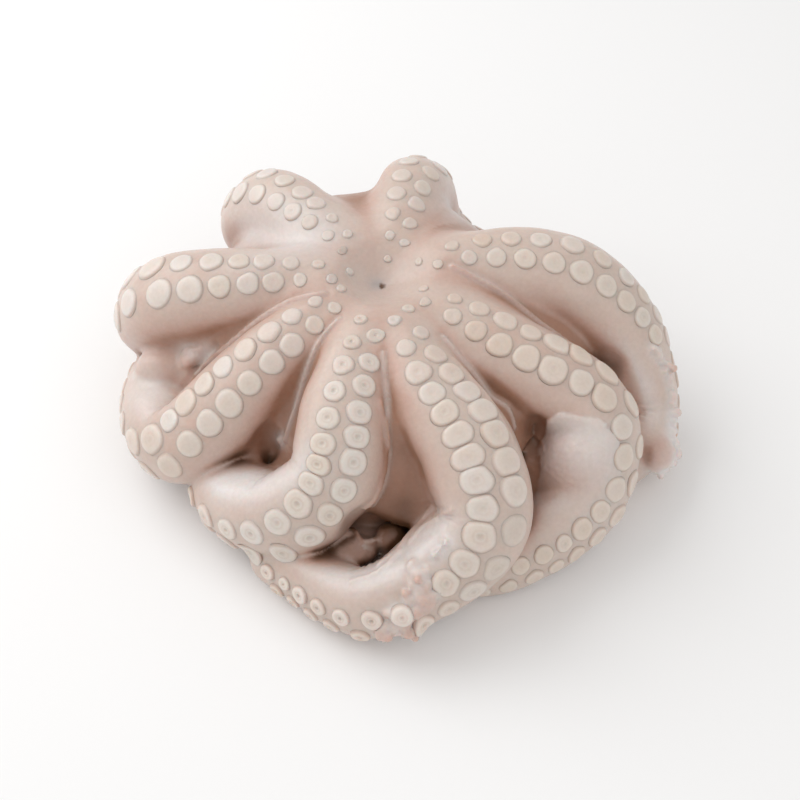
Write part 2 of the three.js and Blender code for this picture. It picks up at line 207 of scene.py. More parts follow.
# The thin end of an arm, curled up in the hollow at the front, and flesh that shows in the hollows.
CURL = {
    "radii": (2.4, 1.2), "thin_at": 60,
    "route": [(-31, -95, 26), (-27, -91, 28), (-22, -91, 29), (-19, -96, 28), (-13, -95, 27)],
}
CURL_FLESH = [
    {"at": (-23.5, -97, 22), "radii": (12.5, 9, 6)},
    {"at": (-4.5, -91, 24), "radii": (8, 7.5, 8)},
    {"at": (-102, -6, 58), "radii": (9, 6.5, 6)},
]


def add_to_scene(name, data):
    made = bpy.data.objects.new(name, data)
    bpy.context.scene.collection.objects.link(made)
    return made


# ---- camera ----
CAMERA_TARGET = Vector((1.7, 6.5, 20.0)) / 1000
CAMERA_ELEVATION = math.radians(50)
CAMERA_DISTANCE = 0.8
CAMERA_FOCAL = 68.13  # mm, on a sensor 36 mm wide


def make_camera():
    data = bpy.data.cameras.new("camera")
    data.lens = CAMERA_FOCAL
    data.sensor_width = 36
    camera = add_to_scene("camera", data)
    away = Vector((0, -math.cos(CAMERA_ELEVATION), math.sin(CAMERA_ELEVATION)))
    camera.location = CAMERA_TARGET + away * CAMERA_DISTANCE
    camera.rotation_euler = away.to_track_quat("Z", "Y").to_euler()
    bpy.context.scene.camera = camera


# ---- small helpers ----
def smoothstep(value, low, high):
    share = np.clip((value - low) / (high - low), 0, 1)
    return share * share * (3 - 2 * share)


def unit(vectors):
    return vectors / np.maximum(np.linalg.norm(vectors, axis=-1, keepdims=True), 1e-9)


def smooth_min(a, b, blend):
    """The lower of two distances, with a fillet of about the given size where they meet."""
    share = np.clip(0.5 + 0.5 * (b - a) / blend, 0, 1)
    return b + (a - b) * share - blend * share * (1 - share)


NOISE_PLACES = 32  # places along each side of the noise's cube, which repeats


def between(lattice, base, inside):
    """Values of a lattice between its places: inside is the share of the way from the place base to the next."""
    total = np.zeros(len(base))
    for corner in itertools.product((0, 1), repeat=3):
        weight = np.prod(np.where(corner, inside, 1 - inside), axis=-1)
        total += weight * lattice[tuple(((base + corner) % lattice.shape).T)]
    return total


def noise(points, size, seed):
    """Smooth lumps of a given size, from -1 to 1."""
    lattice = np.random.default_rng(seed).uniform(-1, 1, (NOISE_PLACES,) * 3)
    scaled = np.asarray(points) / size
    base = np.floor(scaled).astype(int)
    inside = scaled - base
    return between(lattice, base, inside * inside * (3 - 2 * inside))


def noises(points, kinds):
    """The sum of noises, each given by its height, size and seed."""
    return sum(height * noise(points, size, seed) for height, size, seed in kinds)


# ---- arms ----
CURVE_STEPS = 40  # points of a centreline between two points of its route


def curve_through(route):
    """A centripetal Catmull-Rom curve, as points with their distance along it."""
    points = np.array(route, float)
    points = np.vstack([2 * points[0] - points[1], points, 2 * points[-1] - points[-2]])
    made = []
    for before, start, end, after in zip(points, points[1:], points[2:], points[3:]):
        gaps = [np.linalg.norm(b - a) ** 0.5 for a, b in ((before, start), (start, end), (end, after))]
        leave = (start - before) / gaps[0] - (end - before) / (gaps[0] + gaps[1]) + (end - start) / gaps[1]
        arrive = (end - start) / gaps[1] - (after - start) / (gaps[1] + gaps[2]) + (after - end) / gaps[2]
        leave, arrive = leave * gaps[1], arrive * gaps[1]
        t = np.linspace(0, 1, CURVE_STEPS, endpoint=False)[:, None]
        square = -3 * start + 3 * end - 2 * leave - arrive
        made.append(start + leave * t + square * t**2 + (2 * start - 2 * end + leave + arrive) * t**3)
    made = np.vstack(made + [points[-2:-1]])
    along = np.concatenate([[0], np.cumsum(np.linalg.norm(np.diff(made, axis=0), axis=1))])
    return made, along


def line_through(places):
    return curve_through(places)[0]


def turned(vectors, axes, angle):
    """Vectors turned about unit axes that they are square to."""
    return vectors * np.cos(angle) + np.cross(axes, vectors) * np.sin(angle)


class Arm:
    """A centreline with its radius and its frames: forward, oral (towards the suckers) and side."""

    def __init__(self, route, radius, roll=(0.0, 0.0, 0.0)):
        self.points, self.distances = curve_through(route)
        self.length = self.distances[-1]
        self.radius = radius
        self.roll = np.radians(roll)

    def at(self, along):
        along = np.clip(along, 0, self.length)
        return np.stack([np.interp(along, self.distances, self.points[:, k]) for k in range(3)], -1)

    def stations(self, along):
        along = np.atleast_1d(np.asarray(along, float))
        centre, before, after = self.at(along), self.at(along - SLOPE_REACH), self.at(along + SLOPE_REACH)
        forward = unit(after - before)
        bend = (unit(after - centre) - unit(centre - before)) / SLOPE_REACH
        lean = (math.pi / 2) * smoothstep(CROWN_HEIGHT - centre[:, 2], 0, CROWN_HEIGHT - FLOOR_HEIGHT)
        oral = unit(centre * (1, 1, 0)) * np.sin(lean)[:, None] + np.array([0, 0, 1]) * np.cos(lean)[:, None]
        oral = unit(oral - forward * np.sum(oral * forward, -1, keepdims=True))
        oral = turned(oral, forward, np.interp(along, ROLL_AT, self.roll)[:, None])
        side = np.cross(forward, oral)
        return {"centre": centre, "forward": forward, "oral": oral, "side": side, "bend": bend, "along": along,
                "radius": self.radius(along)}


def arm_radius(girth):
    def radius(along):
        swell = np.sin(np.minimum(1, along / SWELL_LENGTH) * math.pi / 2)
        share = np.maximum(0, along - TAPER_START) / TAPER_LENGTH
        taper = 1 - TAPER_EVENNESS * share - (1 - TAPER_EVENNESS) * share * share
        return girth * (ROOT_RADIUS_SHARE + (1 - ROOT_RADIUS_SHARE) * swell) * taper
    return radius


def bulge_at(along):
    return 1 + BULGE_SHARE * np.sin(math.pi * np.clip((along - BULGE_FROM) / (BULGE_TO - BULGE_FROM), 0, 1))


# ---- the flesh as a field of distances ----
PITCH = 1.25  # distance between the places where the field is known
LOW = np.array([-165.0, -156.0, -6.0])
HIGH = np.array([165.0, 144.0, 117.0])
SIZE = tuple(np.ceil((HIGH - LOW) / PITCH).astype(int))
FAR = 30.0
STATION_GAP, COARSE_GAP, FINE_GAP = 2.5, 5.0, 2.0  # between the places of an arm that are worked out
CROWN_BLEND, ARM_BLEND = 14.0, 2.2  # fillet between two arms by the mouth, and where they only touch
BLEND_FROM, BLEND_TO = 25.0, 85.0  # distance from the mouth over which the one turns into the other
LEAST_BEND = 0.008  # a centreline straighter than this, per mm, needs no room on its inside
BEND_ROOM, BEND_LIMIT = 0.9, 0.97  # the room inside a bend, as a share of its radius, and how much of it is used
ARM_REACH, ARM_MARGIN, SHAPE_MARGIN = 1.3, 13, 14  # how far round an arm or a shape the field is worked out


def far_field():
    return np.full(SIZE, FAR, np.float32)


def stamp(field, centre, reach, distance):
    """Lowers the field round a place to distance(x, y, z), which are measured from that place."""
    low = np.clip(((centre - reach - LOW) / PITCH).astype(int), 0, SIZE)
    high = np.clip(((centre + reach - LOW) / PITCH).astype(int) + 2, 0, SIZE)
    box = tuple(slice(a, b) for a, b in zip(low, high))
    axes = [(LOW[k] + PITCH * np.arange(low[k], high[k]) - centre[k]).astype(np.float32) for k in range(3)]
    found = distance(axes[0][:, None, None], axes[1][None, :, None], axes[2][None, None, :])
    np.minimum(field[box], found, out=field[box])


def arm_field(arm):
    field = far_field()
    stations = arm.stations(np.arange(0, arm.length + STATION_GAP, STATION_GAP).clip(0, arm.length))
    for k in range(len(stations["along"])):
        forward, oral, side = (stations[name][k].astype(np.float32) for name in ("forward", "oral", "side"))
        radius = float(stations["radius"][k])
        bulge = float(bulge_at(stations["along"][k]))
        tightness = float(np.linalg.norm(stations["bend"][k]))
        inwards = (stations["bend"][k] / max(tightness, 1e-6)).astype(np.float32)

        def distance(x, y, z):
            def part(axis):
                return x * axis[0] + y * axis[1] + z * axis[2]

            ahead, out, across = part(forward), part(oral), part(side)
            if tightness > LEAST_BEND:
                room = BEND_ROOM / tightness
                depth = np.maximum(part(inwards), 0)
                extra = room * np.arctanh(np.minimum(depth / room, BEND_LIMIT)) - depth
                out = out + extra * inwards.dot(oral)
                across = across + extra * inwards.dot(side)
            out = np.where(out > 0, out / np.float32(ORAL_FLATNESS), out / np.float32(bulge))
            return np.sqrt(ahead * ahead + out * out + across * across) - np.float32(radius)

        stamp(field, stations["centre"][k], radius * ARM_REACH + ARM_MARGIN, distance)
    return field


def ball(radius):
    radius = np.float32(radius)
    return lambda x, y, z: np.sqrt(x * x + y * y + z * z) - radius


def ellipsoid_field(shape):
    centre, radii = np.array(shape["at"], float), np.array(shape["radii"], np.float32)

    def distance(x, y, z):
        near = np.sqrt((x / radii[0]) ** 2 + (y / radii[1]) ** 2 + (z / radii[2]) ** 2)
        steep = np.sqrt((x / radii[0] ** 2) ** 2 + (y / radii[1] ** 2) ** 2 + (z / radii[2] ** 2) ** 2)
        return near * (near - 1) / np.maximum(steep, 1e-6)

    field = far_field()
    stamp(field, centre, radii.astype(float) + SHAPE_MARGIN, distance)
    return field


WEB_STEPS, WEB_SPANS = 20, 14  # rings of the web, and points across each of its eight spans
WEB_SAG = (0.35, 0.65)  # share of the sag by the mouth, and what is added up to the free edge
WEB_MIDDLE = (0.3, 0.3, 0)  # innermost ring against the first one
WEB_BAND = 9.0  # how far round the web its field is known, in pitches


def web_point(arms, index, share, part, rise=0.0):
    """A point of the web between an arm and the next: share of its reach, and part of the way across."""
    start, end, sag = WEBS[index]
    held = []
    for arm, reach in ((arms[index], start), (arms[(index + 1) % len(arms)], end)):
        along = WEB_START + (reach - WEB_START) * share
        centre = arm.at(np.array([along]))[0]
        lift = WEB_LIFT[0] + (WEB_LIFT[1] - WEB_LIFT[0]) * share
        held.append(centre + (0, 0, lift * float(arm.radius(along)) + rise))
    depth = sag * np.linalg.norm(held[0] - held[1]) * (WEB_SAG[0] + WEB_SAG[1] * share * share)
    return held[0] + (held[1] - held[0]) * part - (0, 0, depth * 4 * part * (1 - part))


def web_field(arms):
    def ring(share, rise=0.0):
        return np.array([web_point(arms, i, share, k / WEB_SPANS, rise)
                         for i in range(len(arms)) for k in range(WEB_SPANS)])

    top = ring(0)
    rings = [MOUTH + (top - MOUTH) * WEB_MIDDLE]
    rings += [ring(j / WEB_STEPS) for j in range(WEB_STEPS + 1)]
    rings.append(ring(1, -WEB_LIP))
    rings.append(ring(WEB_HEM_SHARE) * (1, 1, 0) + (0, 0, WEB_HEM_Z))
    around = len(top)
    points = np.vstack(rings + [rings[0].mean(0)[None], rings[-1].mean(0)[None]])
    last, steps = (len(rings) - 1) * around, [(k, (k + 1) % around) for k in range(around)]
    quads = [(j + k, j + ahead, j + around + ahead, j + around + k)
             for j in range(0, last, around) for k, ahead in steps]
    triangles = [face for k, ahead in steps
                 for face in ((len(points) - 2, ahead, k), (len(points) - 1, last + k, last + ahead))]
    grid = openvdb.FloatGrid.createLevelSetFromPolygons(
        (points - LOW).astype(np.float32), triangles=np.array(triangles, np.uint32),
        quads=np.array(quads, np.uint32), transform=openvdb.createLinearTransform(voxelSize=PITCH), halfWidth=WEB_BAND)
    field = np.zeros(SIZE, np.float32)
    grid.copyToArray(field)
    return field


def sample(field, points):
    """The field between its known places."""
    scaled = np.clip((points - LOW) / PITCH, 0, np.array(SIZE) - 1.001)
    base = np.floor(scaled).astype(int)
    return between(field, base, scaled - base)


def steepest(field, points):
    """The outward direction of the field."""
    moves = np.eye(3) * PITCH
    return unit(np.stack([sample(field, points + m) - sample(field, points - m) for m in moves], -1))


# ---- suckers: where they are ----
SUCKER_GROOVE, SUCKER_CROWDING = 0.5, 1.12
INNER_SPREAD = 0.7  # how far the suckers inside a bend keep their distance
GAP_GROWS = (20.0, 90.0)  # distance from the mouth over which the rows part
ROW_ANGLE = math.radians(52)  # direction from the ridge of an arm in which a row leans
BURIED, OWN_REACH = 1.03, 2.5  # inside this share of a radius a sucker is hidden; its own arm is left out this near it
TIP_CLEAR, FLOOR_CLEAR = 4, 0.3  # room that suckers keep to an arm's tip, and to the floor in shares of their width
UNEVEN = {"width": 0.05, "place": 0.03, "length": 0.03, "open": 0.12, "round": 0.018, "young": 0.02, "lean": 0.02,
          "shade": 0.18}  # how far the suckers differ at random


def skin_point(stations, angle):
    radius = stations["radius"][:, None]
    flat = ORAL_FLATNESS if math.cos(angle) > 0 else bulge_at(stations["along"])[:, None]
    offset = stations["side"] * radius * math.sin(angle) + stations["oral"] * radius * math.cos(angle) * flat
    tightness = np.linalg.norm(stations["bend"], axis=-1, keepdims=True)
    inwards = stations["bend"] / np.maximum(tightness, 1e-6)
    depth = np.maximum(np.sum(offset * inwards, -1, keepdims=True), 0)
    room = BEND_ROOM / np.maximum(tightness, 1e-4)
    return stations["centre"] + offset + inwards * (room * np.tanh(depth / room) - depth)


def stretch_at(arm, along, row):
    """The length of a row of suckers against that of the centreline, at a place."""
    first, second = (skin_point(arm.stations(s), row * ROW_ANGLE / 2)[0] for s in (along, along + 1))
    return float(np.linalg.norm(second - first))


def buried(point, own, along, arms):
    for arm in arms:
        stations = arm.coarse
        near = np.linalg.norm(stations["centre"] - point, axis=1) < stations["radius"] * BURIED
        if arm is own:
            near &= np.abs(stations["along"] - along) >= OWN_REACH * stations["radius"]
        if near.any():
            return True
    return False


def place_suckers(arms, draw):
    """Every sucker: its foot, its frame (across, along, out), width, length and how open it is."""
    placed = []
    for number, (arm, facts) in enumerate(zip(arms, ARMS)):
        for row, first in zip((-1, 1), facts["first"]):
            along = first
            while along < arm.length - TIP_CLEAR:
                here, pitch = along, float(np.interp(along, SIZE_AT, facts["pitch"]))
                stretch = stretch_at(arm, here, row)
                step = pitch / min(1, stretch) ** INNER_SPREAD
                along += step
                usual = float(np.interp(here, SIZE_AT, facts["width"]))
                usual *= min(1, float(arm.radius(here) / arm.radius(SIZE_AT[-1])))
                wide = usual * (1 + UNEVEN["width"] * draw.normal())
                here += UNEVEN["place"] * pitch * draw.normal()
                stations = arm.stations(here)
                ridge, edge = skin_point(stations, 0)[0], skin_point(stations, row * ROW_ANGLE)[0]
                across = unit(edge - ridge)
                room = SUCKER_GROOVE + facts["gap"] * float(smoothstep(here, *GAP_GROWS))
                foot = ridge + across * (usual + room) / 2
                out = unit(np.cross(across * row, stations["forward"][0]))
                long = min(wide, SUCKER_CROWDING * step * stretch) * (1 + UNEVEN["length"] * draw.normal())
                near_mouth = np.linalg.norm((foot - MOUTH)[:2]) < MOUTH_CLEAR
                if foot[2] < FLOOR_CLEAR * wide or near_mouth or buried(foot, arm, here, arms):
                    continue
                near_open, far_open = facts["open"]
                opened = near_open + (far_open - near_open) * float(smoothstep(here, *TAIL_FROM))
                opened = np.clip(opened + UNEVEN["open"] * draw.normal(), 0, 1)
                placed.append({"foot": foot, "across": across, "out": out, "width": wide, "length": long,
                               "open": opened, "arm": number, "along": here})
    return placed


# ---- build the field ----
# Fillets in mm. The web's is wider by the second number at the mouth.
WEB_BLEND, BODY_BLEND, CURL_BLEND, CURL_FLESH_BLEND, SEAT_BLEND = (5, 7), 5.0, 1.2, 1.5, 2.0
CREASE_BLEND, FLOOR_BLEND = 0.5, 2.0
# A ball of flesh under each sucker: radius as a share of its width, how far it stands out, and room round it.
SEAT_SHARE, SEAT_RISE, SEAT_MARGIN = 0.5, 0.6, 6
DIMPLE = {"at": tuple(MOUTH + (0, 0, 22)), "radii": (24, 24, 26), "blend": 6.0}
SLIT = {"at": tuple(MOUTH - (0, 0, 2)), "radii": (MOUTH_SLIT / 2, MOUTH_SLIT / 3, MOUTH_DEPTH), "blend": 1.5}

arms = []
for facts in ARMS:
    arm = Arm(facts["route"], arm_radius(facts["girth"]), facts["roll"])
    arm.coarse = arm.stations(np.arange(0, arm.length, COARSE_GAP))
    arms.append(arm)
suckers = place_suckers(arms, np.random.default_rng(11))

ground = (LOW[2] + PITCH * np.arange(SIZE[2])).astype(np.float32)[None, None, :]
plan = np.hypot(LOW[0] + PITCH * np.arange(SIZE[0])[:, None] - MOUTH[0],
                LOW[1] + PITCH * np.arange(SIZE[1])[None, :] - MOUTH[1])
crown = (1 - smoothstep(plan, BLEND_FROM, BLEND_TO)).astype(np.float32)[:, :, None]
arm_blend = ARM_BLEND + (CROWN_BLEND - ARM_BLEND) * crown

arm_fields = [arm_field(arm) for arm in arms]
web = web_field(arms)
flesh = arm_fields[0]
for other in arm_fields[1:]:
    flesh = smooth_min(flesh, other, arm_blend)
flesh = smooth_min(flesh, web, WEB_BLEND[0] + WEB_BLEND[1] * crown)
for shape in (MANTLE, FOLD, FLAP, *BEDS):
    flesh = smooth_min(flesh, ellipsoid_field(shape), BODY_BLEND)
curl_start, curl_end = CURL["radii"]
curl = Arm(CURL["route"], lambda along: curl_start + (curl_end - curl_start) * along / CURL["thin_at"])
flesh = smooth_min(flesh, arm_field(curl), CURL_BLEND)
for shape in CURL_FLESH:
    flesh = smooth_min(flesh, ellipsoid_field(shape), CURL_FLESH_BLEND)

seats = far_field()
for sucker in suckers:
    seat = sucker["width"] * SEAT_SHARE
    stamp(seats, sucker["foot"] - sucker["out"] * (np.float32(seat) - SEAT_RISE), seat + SEAT_MARGIN, ball(seat))
flesh = smooth_min(flesh, seats, SEAT_BLEND)

for shape in (*HOLLOWS, DIMPLE, SLIT):
    flesh = -smooth_min(-flesh, ellipsoid_field(shape), shape["blend"])

CRUMB_BLEND = 1.4
CRUMB_EVERY, CRUMB_LUMPS = 12, 3  # steps of a crumb's curve between two places, and further lumps round each place
CRUMB_SCATTER, CRUMB_SIZES, CRUMB_MARGIN = 0.6, (0.55, 1.0), 5  # in shares of the radius, and mm
CRUMB_SWELL = 0.25  # makes up for what evening them out takes away
SETTLE_ROUNDS, SETTLE_SHARE = 8, 0.8


def settled(points):
    """Points near the skin, moved onto it."""
    for _ in range(SETTLE_ROUNDS):
        points = points - steepest(flesh, points) * sample(flesh, points)[:, None] * SETTLE_SHARE
    return points


crumbs = far_field()
crumb_places = []
crumb_draw = np.random.default_rng(21)
for route, radius in CRUMBS:
    line = settled(line_through(route)[::CRUMB_EVERY])
    crumb_places.append(line)
    scatter = crumb_draw.normal(0, CRUMB_SCATTER * radius, (CRUMB_LUMPS, len(line), 3))
    for place in np.vstack([line, *(line + scatter)]):
        stamp(crumbs, place, radius + CRUMB_MARGIN, ball(radius * crumb_draw.uniform(*CRUMB_SIZES)))
crumb_places = np.vstack(crumb_places)
CREASE_ROUNDS, CREASE_DEPTH = 4, 0.12  # sharp creases are filled up to a smooth bottom


def blurred(field, rounds):
    """The field, evened out over its neighbours."""
    for axis in (0, 1, 2) * rounds:
        wide = np.pad(field, [(1, 1) if k == axis else (0, 0) for k in range(3)], mode="edge")
        low, high = (np.take(wide, range(start, start + field.shape[axis]), axis) for start in (0, 2))
        field = (low + 2 * field + high) / 4
    return field.astype(np.float32)


bare_flesh = smooth_min(flesh, blurred(flesh, CREASE_ROUNDS) + CREASE_DEPTH, CREASE_BLEND)
flesh = smooth_min(bare_flesh, (2 * crumbs + blurred(crumbs, 1)) / 3 - CRUMB_SWELL, CRUMB_BLEND)
flesh = -smooth_min(-flesh, ground + np.zeros(SIZE, np.float32), FLOOR_BLEND)


# ---- mesh of the flesh ----
def add_object(name, points, faces, material, layers):
    """A smooth mesh object in metres from points in the layout's millimetres."""
    mesh = bpy.data.meshes.new(name)
    mesh.from_pydata(((np.asarray(points) - MIDDLE) / 1000).tolist(), [], [list(map(int, f)) for f in faces])
    for layer, values in layers.items():
        mesh.attributes.new(layer, "FLOAT", "POINT").data.foreach_set("value", np.asarray(values, np.float32))
    mesh.shade_smooth()
    mesh.materials.append(material)
    return add_to_scene(name, mesh)


def largest_part(count, quads):
    """The points of the largest connected part, and its quads renumbered. The rest is dropped."""
    labels = np.arange(count)
    edges = np.vstack([quads[:, [0, 1]], quads[:, [1, 2]], quads[:, [2, 3]]])
    while True:
        lower = np.minimum(labels[edges[:, 0]], labels[edges[:, 1]])
        fresh = labels.copy()
        np.minimum.at(fresh, edges[:, 0], lower)
        np.minimum.at(fresh, edges[:, 1], lower)
        fresh = fresh[fresh]
        if (fresh == labels).all():
            break
        labels = fresh
    biggest = np.bincount(labels).argmax()
    kept = np.flatnonzero(labels == biggest)
    renumber = np.full(count, -1)
    renumber[kept] = np.arange(len(kept))
    return kept, renumber[quads[labels[quads[:, 0]] == biggest]]


def surface_of(field):
    grid = openvdb.FloatGrid()
    grid.copyFromArray(field)
    grid.transform = openvdb.createLinearTransform(voxelSize=PITCH)
    points, quads = grid.convertToQuads(isovalue=0.0)
    points = points.astype(float) + LOW
    kept, quads = largest_part(len(points), quads.astype(int))
    return points[kept], quads


# ---- where a point of the skin is on the animal ----
CHUNK = 4000  # points worked out at once
FREE_REACHES = (3.0, 7.0, 14.0, 26.0)  # distances over the skin at which free space is looked for
INNER_SCALE = 25  # makes the inside of a bend of this radius, in mm, count as 1


def arm_coordinates(points):
    """For each point: the distance along its nearest arm, and how far it is towards the suckers and into the bend."""
    nearest = np.argmin(np.stack([sample(field, points) for field in arm_fields]), axis=0)
    along, oral, inner = (np.zeros(len(points)) for _ in range(3))
    for number, arm in enumerate(arms):
        mine = np.flatnonzero(nearest == number)
        stations = arm.stations(np.arange(0, arm.length, FINE_GAP))
        for chunk in np.array_split(mine, max(1, len(mine) // CHUNK)):
            apart = points[chunk][:, None, :] - stations["centre"][None]
            closest = np.argmin(np.sum(apart * apart, -1), axis=1)
            offset = unit(apart[np.arange(len(chunk)), closest])
            along[chunk] = stations["along"][closest]
            oral[chunk] = np.sum(offset * stations["oral"][closest], -1)
            inner[chunk] = np.sum(offset * stations["bend"][closest], -1) * INNER_SCALE
    return along, oral, np.clip(inner, -1, 1)


def closeness(points, curve, width):
    """1 on a curve, falling to 0 within about twice the width."""
    found = np.zeros(len(points))
    low, high = curve.min(0) - 3 * width, curve.max(0) + 3 * width
    near = np.flatnonzero(((points > low) & (points < high)).all(1))
    for chunk in np.array_split(near, max(1, len(near) // CHUNK)):
        gaps = np.linalg.norm(points[chunk][:, None, :] - curve[None], axis=-1).min(1)
        found[chunk] = np.exp(-((gaps / width) ** 2))
    return found


def openness(points, normals, field):
    """How much free space there is over the skin, from 0 in a crevice to 1."""
    total = np.zeros(len(points))
    for reach in FREE_REACHES:
        total += np.clip(sample(field, points + normals * reach) / reach, 0, 1)
    return total / len(FREE_REACHES)


# ---- relief of the skin ----
# Folds that run down the web: the web's number, the points (share of its reach, part of the way across) that the fold
# runs through, its height and its width.
RIDGES = [
    (5, [(0.14, 0.1), (0.35, 0.4), (0.6, 0.43), (0.85, 0.44)], 2.6, 1.2),
    (4, [(0.2, 0.43), (0.38, 0.6), (0.6, 0.52), (0.8, 0.5)], 1.7, 1.0),
    (3, [(0.32, 0.58), (0.6, 0.62), (0.8, 0.68), (0.98, 0.74)], 1.6, 1.0),
    (2, [(0.35, 0.58), (0.62, 0.53), (0.9, 0.55)], 1.5, 1.0),
    (1, [(0.2, 0.25), (0.45, 0.43), (0.68, 0.55), (0.88, 0.58)], 2.5, 1.2),
]
GROOVE_SHARE, GROOVE_WIDTH = 0.5, 2.6  # the groove round a fold, against its height and its width
# Noise is given by its height, size and seed.
LUMPS = ((0.5, 17, 1), (0.12, 6.5, 2))
BEND_WRINKLES = {"height": 0.45, "gap": 6.5, "noise": (3, 12, 3), "inner": (0.3, 0.4), "from": (60, 110)}
CRUMB_NOISE, CRUMB_NOISE_WIDTH = (2.0, 3.2, 22), 3.0
# The wrinkled flank at the front: its middle seen from above, its reach, and the noise and how that is stretched.
WRINKLED = {"at": (2.0, -122.0), "reach": (12, 30), "noise": (0.5, 5.0, 23), "stretch": (0.4, 1.0, 1.0)}
FILM_ANGLE = math.radians(50)
FILM_NOISES = ((2.4, 11, 31), (0.4, 2.5, 32))
FILM_LOSS, FILM_EDGE, FILM_SMOOTHS = 0.85, (-0.5, 0.7), 0.5  # thins out by, width of its edge, lumps it takes away
LIFT_FROM, LIFT_FREE = (0.5, 4), (0.08, 0.3)  # height over the floor and free space from which the relief is whole


def seen(points):
    """Places across and up, as they look from the front at the angle of the film."""
    points = np.asarray(points, float)
    return np.stack([points[:, 0], points[:, 1] * math.sin(FILM_ANGLE) + points[:, 2] * math.cos(FILM_ANGLE)], -1)


def film_height(points):
    """How far the film lifts the skin at each point."""
    flat, edge = seen(points), seen(FILM)
    middle, near = edge.mean(0), np.linalg.norm(points - np.mean(FILM, 0), axis=1) < FILM_REACH
    inside = np.full(len(points), np.inf)
    for start, end in zip(edge, np.roll(edge, -1, axis=0)):
        outward = unit(np.array([end[1] - start[1], start[0] - end[0]]))
        outward *= np.sign(outward @ (start - middle))
        inside = np.minimum(inside, -(flat - start) @ outward)
    inside += noises(points, FILM_NOISES)
    thick = 1 - FILM_LOSS * smoothstep(np.linalg.norm(points - FILM_TOP, axis=1), *FILM_FADES)
    return FILM_THICKNESS * thick * smoothstep(inside, *FILM_EDGE) * near


folds = []  # the folds of the web, as points on the skin


def relief(points):
    """How far the skin stands out at each point: lumps, wrinkles inside the bends, and the folds of the web."""
    along, _, inner = arm_coordinates(points)
    height = noises(points, LUMPS)
    wave = np.sin(2 * math.pi * along / BEND_WRINKLES["gap"] + noises(points, [BEND_WRINKLES["noise"]]))
    least, span = BEND_WRINKLES["inner"]
    height += BEND_WRINKLES["height"] * wave * np.clip(inner - least, 0, span) / span * smoothstep(
        along, *BEND_WRINKLES["from"])
    for number, route, rise, width in RIDGES:
        line = np.array([web_point(arms, number, share, part) for share, part in route])
        curve = settled(line_through(line))
        folds.append(curve)
        height += (rise * closeness(points, curve, width)
                   - GROOVE_SHARE * rise * closeness(points, curve, GROOVE_WIDTH * width))
    for places, rise, width in LINES:
        height += rise * closeness(points, settled(line_through(places)), width)
    film = film_height(points)
    height = height * (1 - FILM_SMOOTHS * film / FILM_THICKNESS) + film
    height += noises(points, [CRUMB_NOISE]) * closeness(points, crumb_places, CRUMB_NOISE_WIDTH)
    flat = np.hypot(points[:, 0] - WRINKLED["at"][0], points[:, 1] - WRINKLED["at"][1])
    height += noises(points * WRINKLED["stretch"], [WRINKLED["noise"]]) * (1 - smoothstep(flat, *WRINKLED["reach"]))
    return height


dense, dense_faces = surface_of(flesh)
dense_normals = steepest(flesh, dense)
lift = relief(dense) * smoothstep(dense[:, 2], *LIFT_FROM)
lift *= smoothstep(openness(dense, dense_normals, flesh), *LIFT_FREE)
dense = dense + dense_normals * lift[:, None]

SKIN_TRIANGLES = 190000


def thinned(points, faces, triangles):
    """The mesh with fewer, larger triangles where it is flat."""
    mesh = bpy.data.meshes.new("dense")
    mesh.from_pydata(points.tolist(), [], faces.tolist())
    piece = add_to_scene("dense", mesh)
    decimate = piece.modifiers.new("decimate", "DECIMATE")
    decimate.ratio = min(1, triangles / (2 * len(faces)))
    shown = piece.evaluated_get(bpy.context.evaluated_depsgraph_get())
    found = bpy.data.meshes.new_from_object(shown)
    points = np.zeros(len(found.vertices) * 3)
    found.vertices.foreach_get("co", points)
    faces = [tuple(face.vertices) for face in found.polygons]
    bpy.data.objects.remove(piece)
    return points.reshape(-1, 3), faces


skin, skin_faces = thinned(dense, dense_faces, SKIN_TRIANGLES)
skin_normals = steepest(flesh, skin)
tree = BVHTree.FromPolygons([Vector(p) for p in skin], skin_faces)


# ---- materials ----
def add_node(tree, kind, links=None, **settings):
    """A shader node with its settings. Its inputs get fixed values, or links from (node, output)."""
    node = tree.nodes.new(kind)
    for name, value in settings.items():
        setattr(node, name, value)
    for socket, source in (links or {}).items():
        if isinstance(source, tuple) and isinstance(source[0], bpy.types.Node):
            tree.links.new(source[0].outputs[source[1]], node.inputs[socket])
        else:
            node.inputs[socket].default_value = source
    return node


def add_ramp(tree, source, stops):
    ramp = add_node(tree, "ShaderNodeValToRGB", {"Fac": source})
    elements = ramp.color_ramp.elements
    while len(elements) < len(stops):
        elements.new(0.5)
    for element, (place, colour) in zip(elements, stops):
        element.position = place
        element.color = (*colour, 1)
    return ramp, "Color"


def math_node(tree, operation, a, b, clamp=False):
    return add_node(tree, "ShaderNodeMath", {0: a, 1: b}, operation=operation, use_clamp=clamp), 0


def mix_colours(tree, share, a, b, blend="MIX"):
    a, b = ((*colour, 1) if len(colour) == 3 else colour for colour in (a, b))
    return add_node(tree, "ShaderNodeMix", {0: share, 6: a, 7: b}, data_type="RGBA", blend_type=blend), 2


def attribute(tree, name):
    return add_node(tree, "ShaderNodeAttribute", attribute_name=name), "Fac"


def texture_noise(tree, place, size, detail=3.0):
    """Noise with lumps of a given size, in millimetres."""
    return add_node(tree, "ShaderNodeTexNoise", {"Vector": place, "Scale": 1000 / size, "Detail": detail,
                                                 "Roughness": NOISE_ROUGHNESS}), "Fac"


def start_material(name):
    material = bpy.data.materials.new(name)
    material.use_nodes = True
    tree = material.node_tree
    return material, tree, (add_node(tree, "ShaderNodeTexCoord"), "Object")


